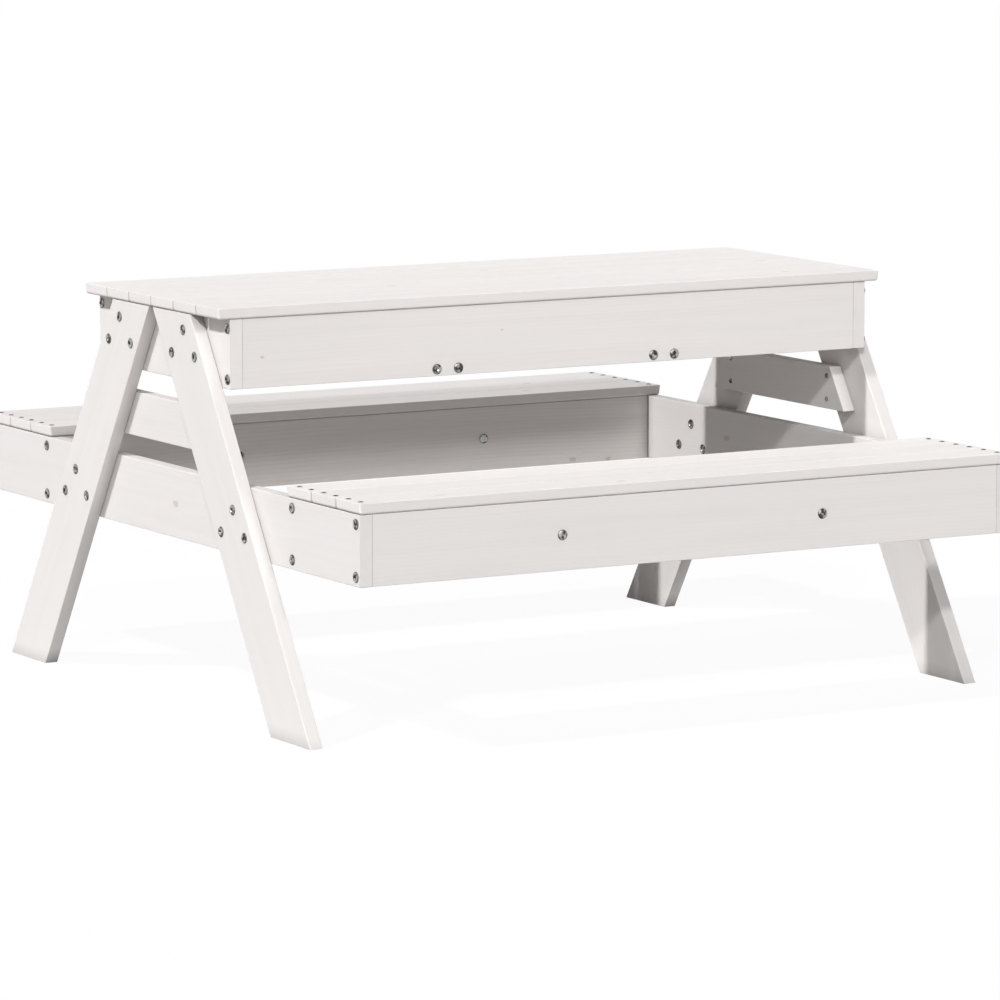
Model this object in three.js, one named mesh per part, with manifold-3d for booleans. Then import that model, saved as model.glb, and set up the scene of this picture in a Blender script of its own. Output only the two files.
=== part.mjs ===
// Low picnic table for children, with benches on both long sides and a sand tray under its lift-off top.
// Every wooden piece is a planed board with eased edges, screwed or bolted to its neighbours.
// Millimetres. X runs along the tabletop, Y from the front bench to the back bench, Z is up.
// The origin is on the ground, under the middle of the table.

import * as THREE from 'three';
import { mergeVertices } from 'three/addons/utils/BufferGeometryUtils.js';
import Module from 'manifold-3d';

const wasm = await Module();
wasm.setup();

// Boards
const BOARD_THICKNESS = 18;
const BOARD_WIDTH = 90; // legs, aprons, end boards and bench boards
const NARROW_WIDTH = 58; // braces, tray rails and lid battens
const PLANK_WIDTH = 62.5;
const PLANK_THICKNESS = 14;
const PLANK_GAP = 1.5;
const EDGE_EASE = 1.8; // radius worked on the edges of every board
const EASE_STEPS = 3;
const JOINT_GAP = 0.3; // between faces that meet

// Top and tray
const TOP_PLANKS = 6;
const TOP_LENGTH = 1000;
const TOP_END_PROUD = 0.5; // the planks end just past the outer faces of the legs
const TOP_SIDE_OVERHANG = 4.5;
const LID_BATTEN_INSET = 200; // from the ends of the planks to a batten's middle
const LID_CLEARANCE = 3; // between a batten's ends and the long aprons
const TRAY_FLOOR_THICKNESS = 9;
const GROOVE_DEPTH = 6;
const RAIL_PLACE_SHARE = 0.341; // of half the length over the aprons

// Heights, as a stack from the ground
const GROUND_CLEARANCE = 215; // under the lower frame
const BRACE_GAP = 30.5; // above and below a brace

// Benches
const SEAT_PLANKS = 3;
const BENCH_SPACING = 689; // clear between the two inner bench boards
const SEAT_INNER_OVERHANG = 3.5;
const SEAT_OUTER_OVERHANG = 2.5;
const SEAT_END_PROUD = 0.5;
const CROSS_BOARD_PLACE_SHARE = 0.401; // of half the length over the end boards

// Legs and braces
const LEG_TOP_SPREAD = 10; // between the two legs of an end, at the top
const LEG_FOOT_SPREAD = 654; // between the same edges, on the ground
const BRACE_LAP = 48; // how far a brace laps onto each leg, measured level

// Bolts with a low domed head at one end and a sleeve nut with the same head at the other
const BOLT_SIDES = 10;
const BOLT_RADIUS = 3;
const SLEEVE_RADIUS = 4;
const SLEEVE_LENGTH = 15;
const BOLT_CLEARANCE = 0.3;
const HEAD_RADIUS = 6.9;
const HEAD_HEIGHT = 3.4;
const HEAD_RIM = 1.1;
const HEAD_SEAT_GAP = 0.1;
const DOME_STEPS = 2;
const SOCKET_RADIUS = 2.6;
const SOCKET_DEPTH = 2;
const SOCKET_SIDES = 6;
const BOLT_TRIANGLE_HALF = 32; // half the base of the triangle of bolts in a leg, and its height
const LOWER_BOLT_HEIGHT = 29.3; // base row above the end board's lower edge
const UPPER_BOLT_HEIGHT = 36.7; // base row above the end apron's lower edge
const RAIL_BOLT_SPACING = 32;
const BOLT_REACH = 42; // into the end grain of a tray rail or a bench's cross board

// Overrun of every cut past the faces that it opens
const CUT_OVERRUN = 5;

// Heights that follow from the stack
const END_BOARD_TOP = GROUND_CLEARANCE + BOARD_WIDTH;
const BRACE_BOTTOM = END_BOARD_TOP + BRACE_GAP;
const APRON_BOTTOM = BRACE_BOTTOM + NARROW_WIDTH + BRACE_GAP;
const APRON_TOP = APRON_BOTTOM + BOARD_WIDTH;
const TOP_UNDERSIDE = APRON_TOP + JOINT_GAP;
const SEAT_UNDERSIDE = END_BOARD_TOP + JOINT_GAP;
const TRAY_FLOOR_BOTTOM = APRON_BOTTOM + BOARD_THICKNESS + JOINT_GAP;
const LOWER_BOLT_BASE = GROUND_CLEARANCE + LOWER_BOLT_HEIGHT;
const UPPER_BOLT_BASE = APRON_BOTTOM + UPPER_BOLT_HEIGHT;

// Places along X: outer face of the end aprons and end boards, and what lies inside it
const END_PLANE = TOP_LENGTH / 2 - TOP_END_PROUD - BOARD_THICKNESS - JOINT_GAP;
const END_INNER_FACE = END_PLANE - BOARD_THICKNESS;
const LEG_OUTER_FACE = END_PLANE + JOINT_GAP + BOARD_THICKNESS;
const LONG_BOARD_LENGTH = 2 * (END_INNER_FACE - JOINT_GAP);
const LID_BATTEN_OFFSET = TOP_LENGTH / 2 - LID_BATTEN_INSET;
const RAIL_OFFSET = RAIL_PLACE_SHARE * END_PLANE;
const CROSS_BOARD_OFFSET = CROSS_BOARD_PLACE_SHARE * END_PLANE;

// Places along Y
const PLANK_PITCH = PLANK_WIDTH + PLANK_GAP;
const TOP_DEPTH = TOP_PLANKS * PLANK_PITCH - PLANK_GAP;
const SEAT_DEPTH = SEAT_PLANKS * PLANK_PITCH - PLANK_GAP;
const APRON_DEPTH = TOP_DEPTH - 2 * TOP_SIDE_OVERHANG;
const TRAY_DEPTH = APRON_DEPTH - 2 * BOARD_THICKNESS;
const BENCH_DEPTH = SEAT_DEPTH - SEAT_INNER_OVERHANG - SEAT_OUTER_OVERHANG;
const FRAME_DEPTH = BENCH_SPACING + 2 * BENCH_DEPTH;
const SEAT_INNER_EDGE = BENCH_SPACING / 2 - SEAT_INNER_OVERHANG;

// Lean of the legs: how far a leg moves out for each millimetre down
const LEG_SLOPE = (LEG_FOOT_SPREAD - LEG_TOP_SPREAD) / 2 / APRON_TOP;
const LEG_LEVEL_WIDTH = BOARD_WIDTH * Math.hypot(1, LEG_SLOPE);

const paintedPine = () => new THREE.MeshStandardMaterial({ color: 0xebe8e4, roughness: 0.62, metalness: 0 });
const trayPanel = () => new THREE.MeshStandardMaterial({ color: 0xe2dcd2, roughness: 0.7, metalness: 0 });
const zincSteel = () => new THREE.MeshStandardMaterial({ color: 0x9a9893, roughness: 0.38, metalness: 0.9 });

// Inner edge of a leg at a height, as a distance from the middle of the table.
function legInnerEdge(height) {
  return LEG_TOP_SPREAD / 2 + (APRON_TOP - height) * LEG_SLOPE;
}

function legCentre(height) {
  return legInnerEdge(height) + LEG_LEVEL_WIDTH / 2;
}

// Board of any outline, its thickness centred on local Z, with the edges of both faces eased.
function boardFrom(corners, thickness) {
  const geometry = new THREE.ExtrudeGeometry(new THREE.Shape(corners), {
    depth: thickness - 2 * EDGE_EASE,
    bevelSegments: EASE_STEPS,
    bevelThickness: EDGE_EASE,
    bevelSize: EDGE_EASE,
    bevelOffset: -EDGE_EASE,
  });
  return geometry.translate(0, 0, EDGE_EASE - thickness / 2);
}

// Straight board, its length along local X and its width along local Y.
function straightBoard(length, width, thickness) {
  const x = length / 2;
  const y = width / 2;
  return boardFrom([
    new THREE.Vector2(-x, -y),
    new THREE.Vector2(x, -y),
    new THREE.Vector2(x, y),
    new THREE.Vector2(-x, y),
  ], thickness);
}

function toSolid(geometry) {
  const bare = geometry.clone();
  bare.deleteAttribute('normal');
  bare.deleteAttribute('uv');
  const merged = mergeVertices(bare);
  const index = Array.from(merged.index.array);
  const corners = [];
  for (let i = 0; i < index.length; i += 3) {
    const [a, b, c] = index.slice(i, i + 3);
    if (a !== b && b !== c && c !== a) {
      corners.push(a, b, c);
    }
  }
  const vertProperties = new Float32Array(merged.attributes.position.array);
  return new wasm.Manifold(new wasm.Mesh({ numProp: 3, vertProperties, triVerts: new Uint32Array(corners) }));
}

function toGeometry(solid) {
  const mesh = solid.getMesh();
  const geometry = new THREE.BufferGeometry();
  geometry.setAttribute('position', new THREE.BufferAttribute(new Float32Array(mesh.vertProperties), 3));
  geometry.setIndex(new THREE.BufferAttribute(new Uint32Array(mesh.triVerts), 1));
  geometry.computeVertexNormals();
  return geometry;
}

// The geometry with every cutter taken away from it.
function cut(geometry, cutters) {
  let solid = toSolid(geometry);
  for (const cutter of cutters) {
    solid = solid.subtract(toSolid(cutter));
  }
  return toGeometry(solid);
}

// The geometry made one solid with every addition.
function fuse(geometry, additions) {
  let solid = toSolid(geometry);
  for (const addition of additions) {
    solid = solid.add(toSolid(addition));
  }
  return toGeometry(solid);
}

// Hole through a board's faces at each local place.
function faceHoles(places, radius) {
  return places.map(([x, y]) => {
    const hole = new THREE.CylinderGeometry(radius, radius, BOARD_THICKNESS + 2 * CUT_OVERRUN, BOLT_SIDES);
    return hole.rotateX(Math.PI / 2).translate(x, y, 0);
  });
}

// A named piece of wood. The turn is the direction that its faces look in.
const FACING = {
  up: new THREE.Quaternion(),
  upAcross: new THREE.Quaternion().setFromAxisAngle(new THREE.Vector3(0, 0, 1), Math.PI / 2),
  side: new THREE.Quaternion().setFromAxisAngle(new THREE.Vector3(1, 0, 0), Math.PI / 2),
  end: new THREE.Quaternion(1 / 2, 1 / 2, 1 / 2, 1 / 2),
};

function piece(name, geometry, material, facing, x, y, z) {
  const mesh = new THREE.Mesh(geometry, material());
  mesh.name = name;
  mesh.quaternion.copy(FACING[facing]);
  mesh.position.set(x, y, z);
  return mesh;
}

const ENDS = [['left', -1], ['right', 1]];
const SIDES = [['front', -1], ['back', 1]];

// Lid: planks lengthwise, held together by two battens that drop inside the tray.
function makeLid() {
  const lid = new THREE.Group();
  const plankZ = TOP_UNDERSIDE + PLANK_THICKNESS / 2;
  for (let i = 0; i < TOP_PLANKS; i += 1) {
    const y = (i - (TOP_PLANKS - 1) / 2) * PLANK_PITCH;
    const plank = straightBoard(TOP_LENGTH, PLANK_WIDTH, PLANK_THICKNESS);
    lid.add(piece(`lid_plank_${i + 1}`, plank, paintedPine, 'up', 0, y, plankZ));
  }
  const battenZ = TOP_UNDERSIDE - JOINT_GAP - BOARD_THICKNESS / 2;
  for (const [end, way] of ENDS) {
    const batten = straightBoard(TRAY_DEPTH - 2 * LID_CLEARANCE, NARROW_WIDTH, BOARD_THICKNESS);
    lid.add(piece(`lid_batten_${end}`, batten, paintedPine, 'upAcross', way * LID_BATTEN_OFFSET, 0, battenZ));
  }
  return lid;
}

// Local places, along an apron and up from its middle, of the two bolts at each tray rail.
function railBoltPlaces() {
  const up = (BOARD_THICKNESS - BOARD_WIDTH) / 2;
  const near = RAIL_OFFSET - RAIL_BOLT_SPACING / 2;
  const far = RAIL_OFFSET + RAIL_BOLT_SPACING / 2;
  return [[-far, up], [-near, up], [near, up], [far, up]];
}

// Groove in an apron's inner face that holds the edge of the tray floor, in the apron's local frame.
function floorGroove(length, inward) {
  const height = TRAY_FLOOR_THICKNESS + 2 * JOINT_GAP;
  const groove = new THREE.BoxGeometry(length, height, GROOVE_DEPTH + CUT_OVERRUN);
  const up = TRAY_FLOOR_BOTTOM + TRAY_FLOOR_THICKNESS / 2 - (APRON_BOTTOM + BOARD_WIDTH / 2);
  const inFace = BOARD_THICKNESS / 2 - GROOVE_DEPTH + (GROOVE_DEPTH + CUT_OVERRUN) / 2;
  return groove.translate(0, up, inward * inFace);
}

// Sand tray: an open box of aprons with a grooved-in floor, borne in the middle by two bolted rails. Each end
// apron is one solid with the six bolts that hold it to the legs.
function makeTray() {
  const tray = new THREE.Group();
  const apronZ = APRON_BOTTOM + BOARD_WIDTH / 2;
  for (const [end, way] of ENDS) {
    const board = straightBoard(APRON_DEPTH, BOARD_WIDTH, BOARD_THICKNESS);
    const grooved = cut(board, [floorGroove(TRAY_DEPTH + 2 * GROOVE_DEPTH, -way)]);
    const places = SIDES.flatMap(([, sideWay]) => boltTriangle(sideWay, UPPER_BOLT_BASE));
    const bolts = places.map(([y, z]) => {
      const bolt = throughBolt(-HEAD_SEAT_GAP).rotateX(way * Math.PI / 2);
      return bolt.translate(y, z - apronZ, way * (LEG_OUTER_FACE - END_PLANE + BOARD_THICKNESS / 2));
    });
    const apron = fuse(grooved, bolts);
    const x = way * (END_PLANE - BOARD_THICKNESS / 2);
    tray.add(piece(`apron_${end}`, apron, paintedPine, 'end', x, 0, apronZ));
  }
  for (const [side, way] of SIDES) {
    const board = straightBoard(LONG_BOARD_LENGTH, BOARD_WIDTH, BOARD_THICKNESS);
    const groove = floorGroove(LONG_BOARD_LENGTH + 2 * CUT_OVERRUN, way);
    const holes = faceHoles(railBoltPlaces(), BOLT_RADIUS + BOLT_CLEARANCE);
    const y = way * (APRON_DEPTH - BOARD_THICKNESS) / 2;
    tray.add(piece(`apron_${side}`, cut(board, [groove, ...holes]), paintedPine, 'side', 0, y, apronZ));
  }

  const floorLength = 2 * (END_INNER_FACE + GROOVE_DEPTH - JOINT_GAP);
  const floorDepth = TRAY_DEPTH + 2 * (GROOVE_DEPTH - JOINT_GAP);
  const floor = new THREE.BoxGeometry(floorLength, floorDepth, TRAY_FLOOR_THICKNESS);
  const floorZ = TRAY_FLOOR_BOTTOM + TRAY_FLOOR_THICKNESS / 2;
  tray.add(piece('tray_floor', floor, trayPanel, 'up', 0, 0, floorZ));

  const railLength = TRAY_DEPTH - 2 * JOINT_GAP;
  const radius = BOLT_RADIUS + BOLT_CLEARANCE;
  const depth = BOLT_REACH + CUT_OVERRUN;
  const boreMiddle = railLength / 2 + CUT_OVERRUN - depth / 2;
  const bores = [-RAIL_BOLT_SPACING / 2, RAIL_BOLT_SPACING / 2].flatMap((across) => (
    [-boreMiddle, boreMiddle].map((along) => {
      const bore = new THREE.CylinderGeometry(radius, radius, depth, BOLT_SIDES);
      return bore.rotateZ(Math.PI / 2).translate(along, across, 0);
    })
  ));
  for (const [end, way] of ENDS) {
    const rail = cut(straightBoard(railLength, NARROW_WIDTH, BOARD_THICKNESS), bores);
    const z = APRON_BOTTOM + BOARD_THICKNESS / 2;
    tray.add(piece(`tray_rail_${end}`, rail, paintedPine, 'upAcross', way * RAIL_OFFSET, 0, z));
  }
  return tray;
}

// Corners of a triangle of bolts standing on a level base row, in the plane of an end.
function boltTriangle(way, baseHeight) {
  const middle = legCentre(baseHeight);
  return [
    [way * middle, baseHeight + BOLT_TRIANGLE_HALF],
    [way * (middle - BOLT_TRIANGLE_HALF), baseHeight],
    [way * (middle + BOLT_TRIANGLE_HALF), baseHeight],
  ];
}

// Leaning leg, cut level at both ends and drilled for its upper and lower bolts. Its outline lies in the plane
// of an end, from the ground up.
function legGeometry(way) {
  const foot = legInnerEdge(0);
  const top = legInnerEdge(APRON_TOP);
  const corners = [
    new THREE.Vector2(way * foot, 0),
    new THREE.Vector2(way * (foot + LEG_LEVEL_WIDTH), 0),
    new THREE.Vector2(way * (top + LEG_LEVEL_WIDTH), APRON_TOP),
    new THREE.Vector2(way * top, APRON_TOP),
  ];
  const places = [...boltTriangle(way, LOWER_BOLT_BASE), ...boltTriangle(way, UPPER_BOLT_BASE)];
  return cut(boardFrom(corners, BOARD_THICKNESS), faceHoles(places, BOLT_RADIUS + BOLT_CLEARANCE));
}

// Brace on the inner faces of both legs, with its ends parallel to the legs.
function braceGeometry() {
  const low = legInnerEdge(BRACE_BOTTOM) + BRACE_LAP;
  const high = legInnerEdge(BRACE_BOTTOM + NARROW_WIDTH) + BRACE_LAP;
  return boardFrom([
    new THREE.Vector2(-low, 0),
    new THREE.Vector2(low, 0),
    new THREE.Vector2(high, NARROW_WIDTH),
    new THREE.Vector2(-high, NARROW_WIDTH),
  ], BOARD_THICKNESS);
}

// A-frame ends: two legs outside the end apron and the end board, and a brace in the plane of those two.
function makeEnds() {
  const ends = new THREE.Group();
  const boardMiddle = GROUND_CLEARANCE + BOARD_WIDTH / 2;
  for (const [end, way] of ENDS) {
    const legX = way * (LEG_OUTER_FACE - BOARD_THICKNESS / 2);
    const boardX = way * (END_PLANE - BOARD_THICKNESS / 2);
    const boardHoles = [];
    for (const [side, sideWay] of SIDES) {
      const leg = legGeometry(sideWay);
      ends.add(piece(`leg_${end}_${side}`, leg, paintedPine, 'end', legX, 0, 0));
      boltTriangle(sideWay, LOWER_BOLT_BASE).forEach(([y, z], i) => {
        const bolt = new THREE.Mesh(throughBolt(HEAD_SEAT_GAP), zincSteel());
        bolt.name = `leg_bolt_${end}_${side}_${i + 1}`;
        bolt.rotation.z = -way * Math.PI / 2;
        bolt.position.set(way * LEG_OUTER_FACE, y, z);
        ends.add(bolt);
        boardHoles.push([y, z - boardMiddle]);
      });
    }
    const board = straightBoard(FRAME_DEPTH, BOARD_WIDTH, BOARD_THICKNESS);
    const drilled = cut(board, faceHoles(boardHoles, SLEEVE_RADIUS + BOLT_CLEARANCE));
    ends.add(piece(`end_board_${end}`, drilled, paintedPine, 'end', boardX, 0, boardMiddle));
    ends.add(piece(`brace_${end}`, braceGeometry(), paintedPine, 'end', boardX, 0, BRACE_BOTTOM));
  }
  return ends;
}

// Long bench board, drilled for the bolts of its cross boards.
function benchBoard() {
  const holes = faceHoles([[-CROSS_BOARD_OFFSET, 0], [CROSS_BOARD_OFFSET, 0]], BOLT_RADIUS + BOLT_CLEARANCE);
  return cut(straightBoard(LONG_BOARD_LENGTH, BOARD_WIDTH, BOARD_THICKNESS), holes);
}

// Board across a bench, one solid with the bolt in the end grain of each of its ends.
function crossBoard(length) {
  const boltedFace = length / 2 + JOINT_GAP + BOARD_THICKNESS;
  const bolts = [-1, 1].map((way) => {
    const bolt = endGrainBolt().rotateZ(-way * Math.PI / 2);
    return bolt.translate(way * boltedFace, 0, 0);
  });
  return fuse(straightBoard(length, BOARD_WIDTH, BOARD_THICKNESS), bolts);
}

// Benches: an outer and an inner board between the end boards, cross boards on edge, and planks on top.
function makeBenches() {
  const benches = new THREE.Group();
  const boardZ = GROUND_CLEARANCE + BOARD_WIDTH / 2;
  const innerY = BENCH_SPACING / 2 + BOARD_THICKNESS / 2;
  const outerY = FRAME_DEPTH / 2 - BOARD_THICKNESS / 2;
  const crossLength = outerY - innerY - BOARD_THICKNESS - 2 * JOINT_GAP;
  for (const [side, way] of SIDES) {
    benches.add(piece(`bench_${side}_outer`, benchBoard(), paintedPine, 'side', 0, way * outerY, boardZ));
    benches.add(piece(`bench_${side}_inner`, benchBoard(), paintedPine, 'side', 0, way * innerY, boardZ));
    for (const [end, endWay] of ENDS) {
      const x = endWay * CROSS_BOARD_OFFSET;
      const y = way * (outerY + innerY) / 2;
      const board = crossBoard(crossLength);
      benches.add(piece(`bench_${side}_cross_${end}`, board, paintedPine, 'end', x, y, boardZ));
    }
    for (let i = 0; i < SEAT_PLANKS; i += 1) {
      const plank = straightBoard(2 * (END_PLANE + SEAT_END_PROUD), PLANK_WIDTH, PLANK_THICKNESS);
      const y = way * (SEAT_INNER_EDGE + PLANK_WIDTH / 2 + i * PLANK_PITCH);
      const z = SEAT_UNDERSIDE + PLANK_THICKNESS / 2;
      benches.add(piece(`seat_${side}_plank_${i + 1}`, plank, paintedPine, 'up', 0, y, z));
    }
  }
  return benches;
}

// Half profile of a low domed head, from its seat at a height to its crown on the axis.
function domePoints(seat, way) {
  const points = [];
  for (let i = 0; i <= DOME_STEPS; i += 1) {
    const angle = i / DOME_STEPS * Math.PI / 2;
    const rise = HEAD_RIM + (HEAD_HEIGHT - HEAD_RIM) * Math.sin(angle);
    const radius = i === DOME_STEPS ? 0 : HEAD_RADIUS * Math.cos(angle);
    points.push(new THREE.Vector2(radius, seat + way * rise));
  }
  return points;
}

// Six-sided socket in the crown of a head.
function socket(seat, way) {
  const length = SOCKET_DEPTH + CUT_OVERRUN;
  const prism = new THREE.CylinderGeometry(SOCKET_RADIUS, SOCKET_RADIUS, length, SOCKET_SIDES);
  return prism.translate(0, seat + way * (HEAD_HEIGHT - SOCKET_DEPTH + length / 2), 0);
}

// Bolt through a leg and the board behind it, with its sleeve nut. Local Y points out of the head, and zero is
// the leg's face. The nut's head stands off the inner face of the board by its gap, or is sunk into it.
function throughBolt(nutGap) {
  const nutSeat = -(2 * BOARD_THICKNESS + JOINT_GAP + nutGap);
  const sleeveEnd = nutSeat + SLEEVE_LENGTH;
  const profile = [
    ...domePoints(nutSeat, -1).reverse(),
    new THREE.Vector2(HEAD_RADIUS, nutSeat),
    new THREE.Vector2(SLEEVE_RADIUS, nutSeat),
    new THREE.Vector2(SLEEVE_RADIUS, sleeveEnd),
    new THREE.Vector2(BOLT_RADIUS, sleeveEnd),
    new THREE.Vector2(BOLT_RADIUS, HEAD_SEAT_GAP),
    new THREE.Vector2(HEAD_RADIUS, HEAD_SEAT_GAP),
    ...domePoints(HEAD_SEAT_GAP, 1),
  ];
  return cut(new THREE.LatheGeometry(profile, BOLT_SIDES), [socket(HEAD_SEAT_GAP, 1), socket(nutSeat, -1)]);
}

// Bolt through a board into the end grain of another. Local Y points out of the head, and zero is the face of
// the board that it goes through.
function endGrainBolt() {
  const tip = -(BOARD_THICKNESS + BOLT_REACH - JOINT_GAP);
  const profile = [
    new THREE.Vector2(0, tip),
    new THREE.Vector2(BOLT_RADIUS, tip),
    new THREE.Vector2(BOLT_RADIUS, HEAD_SEAT_GAP),
    new THREE.Vector2(HEAD_RADIUS, HEAD_SEAT_GAP),
    ...domePoints(HEAD_SEAT_GAP, 1),
  ];
  return cut(new THREE.LatheGeometry(profile, BOLT_SIDES), [socket(HEAD_SEAT_GAP, 1)]);
}

function makeRailBolts() {
  const bolts = new THREE.Group();
  for (const [side, way] of SIDES) {
    railBoltPlaces().forEach(([x], i) => {
      const bolt = new THREE.Mesh(endGrainBolt(), zincSteel());
      bolt.name = `rail_bolt_${side}_${i + 1}`;
      bolt.rotation.z = way < 0 ? Math.PI : 0;
      bolt.position.set(x, way * APRON_DEPTH / 2, APRON_BOTTOM + BOARD_THICKNESS / 2);
      bolts.add(bolt);
    });
  }
  return bolts;
}

const table = new THREE.Group();
table.name = 'picnic_table_with_sandbox';
table.add(makeLid(), makeTray(), makeRailBolts(), makeEnds(), makeBenches());

export default table;
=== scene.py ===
"""The looks of a picnic table whose lift-off top covers a sand tray, built around its packed CAD frame.

Each board is an eased piece of timber that carries its own grain coordinates, so the grain runs along it and
no two boards are alike. Planks, bolts and screws come from Geometry Nodes. Everything is in metres, +Z up,
with the left end of the table at -X and its front at -Y.
"""

import math
import random

import bpy
from mathutils import Matrix, Vector


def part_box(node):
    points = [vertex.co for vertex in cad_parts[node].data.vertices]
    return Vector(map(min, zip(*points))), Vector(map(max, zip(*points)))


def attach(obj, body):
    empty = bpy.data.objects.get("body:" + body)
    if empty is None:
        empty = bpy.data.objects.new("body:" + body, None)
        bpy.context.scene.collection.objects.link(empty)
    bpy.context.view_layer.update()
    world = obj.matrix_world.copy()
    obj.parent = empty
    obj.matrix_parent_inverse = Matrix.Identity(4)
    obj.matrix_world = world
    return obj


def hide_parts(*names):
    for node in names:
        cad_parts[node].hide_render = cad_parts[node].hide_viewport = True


bl_info = {
    "name": "Picnic Table with Sand Tray",
    "version": (1, 0, 0),
    "blender": (4, 5, 0),
    "location": "View3D > Sidebar > Table",
    "description": "Dresses the packed frame of a picnic table in painted pine and zinc-plated steel",
    "category": "Object",
}

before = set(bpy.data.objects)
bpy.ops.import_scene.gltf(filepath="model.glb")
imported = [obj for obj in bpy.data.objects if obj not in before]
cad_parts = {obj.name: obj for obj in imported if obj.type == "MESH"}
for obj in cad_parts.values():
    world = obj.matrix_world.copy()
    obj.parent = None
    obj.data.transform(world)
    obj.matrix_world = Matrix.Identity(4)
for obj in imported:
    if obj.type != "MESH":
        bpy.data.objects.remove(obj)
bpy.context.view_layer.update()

MM = 0.001
ENDS = (("left", -1), ("right", 1))
SIDES = (("front", -1), ("back", 1))
BENCH_BOARDS = ("outer", "inner")
TOP_PLANKS = 6
SEAT_PLANKS = 3
LEG_BOLTS = 3
RAIL_BOLTS = 4

# Shading of the planks and fixings
CREASE_ANGLE = 35  # degrees
FACE_WEIGHT = 90  # over 50, larger faces count for more

# Least cosine between a board's grain and its long edges
PARALLEL = 0.99

# Boards listed with their knots: each knot's place along X, Y and Z, and half its width, in millimetres.
# A board has two at most. Knots fall at random on the boards that aren't listed.
KNOTS = {
    "long_apron_front": ((-435, -187, 463, 1.8), (-83, -187, 479, 1.1)),
    "end_beam_left": ((-481, -31, 259, 4.2),),
    "inner_board_back": ((339, 344, 221, 3.0), (397, 344, 218, 2.5)),
    "outer_board_front": (),
    "slanted_leg_left_front": (),
    "slanted_leg_left_back": (),
}
# How strongly a board's grain shows
FIGURE = {"inner_board_back": 0.55, "other": 0.19}

# Where boards are cut from a log, in metres: how far along it, and how far from its pith to the side
# and in depth
LOG_LENGTH = 40
PITH_ASIDE = (0.015, 0.11)
PLANK_PITH_ASIDE = 0.10
PITH_DEPTH = (0.02, 0.09)

# Growth rings and how far they wander, shake and swell round a knot
RING_WIDTH = 5.2 * MM
RING_WANDER = 34 * MM
RING_SHAKE = 1.6 * MM
RING_SWELL = 7 * MM

# Scales of what varies in timber: along the grain, across it and through it
WANDER_SCALE = (1.7, 5.0, 5.0)
SHAKE_SCALE = (9.0, 60.0, 60.0)
STREAK_SCALE = (2.2, 55.0, 55.0)
CLOUD_SCALE = (5.0, 22.0, 22.0)
FIBRE_SCALE = (14.0, 850.0, 850.0)
KNOT_SCALE = (4.2, 9.5, 0.0)
KNOT_EDGE_SCALE = (90.0, 160.0, 160.0)
KNOT_STRETCH = 0.6  # a knot's width over its length
KNOTLESS_SHARE = 0.86  # of the cells that hold the random knots
SMALLEST_KNOT = 0.018  # radius of a random knot, in cells
KNOT_GROWTH = 0.035  # from the smallest radius to the largest
NO_KNOT = 9.0  # added to the distance, in radii, where a knot isn't wanted

# Weights of fibres and streaks beside the rings
FIBRE_WEIGHT = 0.35
STREAK_WEIGHT = 0.8
# Reach of the painted shade that ambient occlusion puts in corners
CORNER_SHADE_REACH = 20 * MM
PAINT_RELIEF = 0.25 * MM

# Veneer of the tray's floor
VENEER_WANDER_SCALE = (1.6, 7.0, 7.0)
VENEER_FIBRE_SCALE = (12.0, 700.0, 700.0)
VENEER_LINES = 38.0  # to the metre
VENEER_WANDER = 9.0  # in lines

# Zinc plating
PATCH_SCALE = 170.0
PIT_SCALE = 2600.0
DULL_SHARE = 0.12  # of the bright colour
# Painted shade round the rim of a head, where it meets the wood
RIM_SHADE_START = 0.7  # share of the head's radius
RIM_SHADE_STRENGTH = 0.75

# Places of fixings that follow no setting
SEAT_SCREW_EDGE = 15.5 * MM  # from a seat plank's long edges
BRACE_SCREW_EDGE = 12.9 * MM  # from a brace's long edges
BRACE_SCREW_REACH = 122.3 * MM  # from the middle of the table
BATTEN_SCREW_SHIFT = 12 * MM  # off the middle of a batten, to each side by turns
APRON_BOLT_SHIFT = 2.5 * MM  # out from the middle of a long apron's end
CROSS_BOARD_GAP = 0.3 * MM  # between a cross board and the boards that it meets

# Low domed heads
DOME_STEPS = 5
DOME_SIDE_SHARE = 0.32  # of the head's height, under the dome
CROWN_SHARE = 0.52  # of the head's radius
CROWN_RIM = 0.4 * MM  # at least, round the socket
SOCKET_FLOOR = 0.25 * MM  # over the wood
SOCKET_TAPER = 0.95  # its width at the bottom over its width at the top
SOCKET_CHAMFER = (0.3 * MM, 0.35 * MM)  # width and depth
HEAD_CHAMFER = 0.15 * MM
SHANK_SHARE = 0.45  # of the head's radius
SHANK_DEPTH = 2 * MM
HEAD_SIDES = 30
HEX_SIDES = 6

# Wood screws
SMALL_SCREW_RADIUS = 3.4 * MM
SMALL_SCREW_HEIGHT = 1.4 * MM
SMALL_SCREW_SOCKET = 1.3 * MM
SEAT_SCREW_HEIGHT = 1.0 * MM
SEAT_SCREW_SOCKET = 1.6 * MM
SEAT_SCREW_RECESS = 0.9 * MM
SEAT_SCREW_DOME_SHARES = (0.65, 0.8, 0.92, 1.0)
SEAT_SCREW_RIM = 0.2 * MM
SEAT_SCREW_SHANK = 1.5 * MM
SEAT_SCREW_CONE = 2.3 * MM
SEAT_SCREW_DEPTH = 4 * MM
SCREW_SIDES = 20

# Countersinks
DRILL_ROOM = 0.25 * MM  # round a screw's head
DRILL_TOP = 1 * MM  # over the wood
DRILL_RIM = 0.55 * MM
DRILL_SHANK = 1.8 * MM
DRILL_CONE = 2.6 * MM
DRILL_DEPTH = 5 * MM

# Turn of the sockets, and where planks are cut from the log
BOLT_SEED = 11
SCREW_SEED = 23
SEAT_SEED_SHIFT = 40  # from the seed of the tabletop's planks
TONE_SEED_SHIFT = 17

# The lean of the legs is found by trial, from a first guess
LEAN_GUESS = 0.6
LEAN_TRIALS = 40

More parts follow.
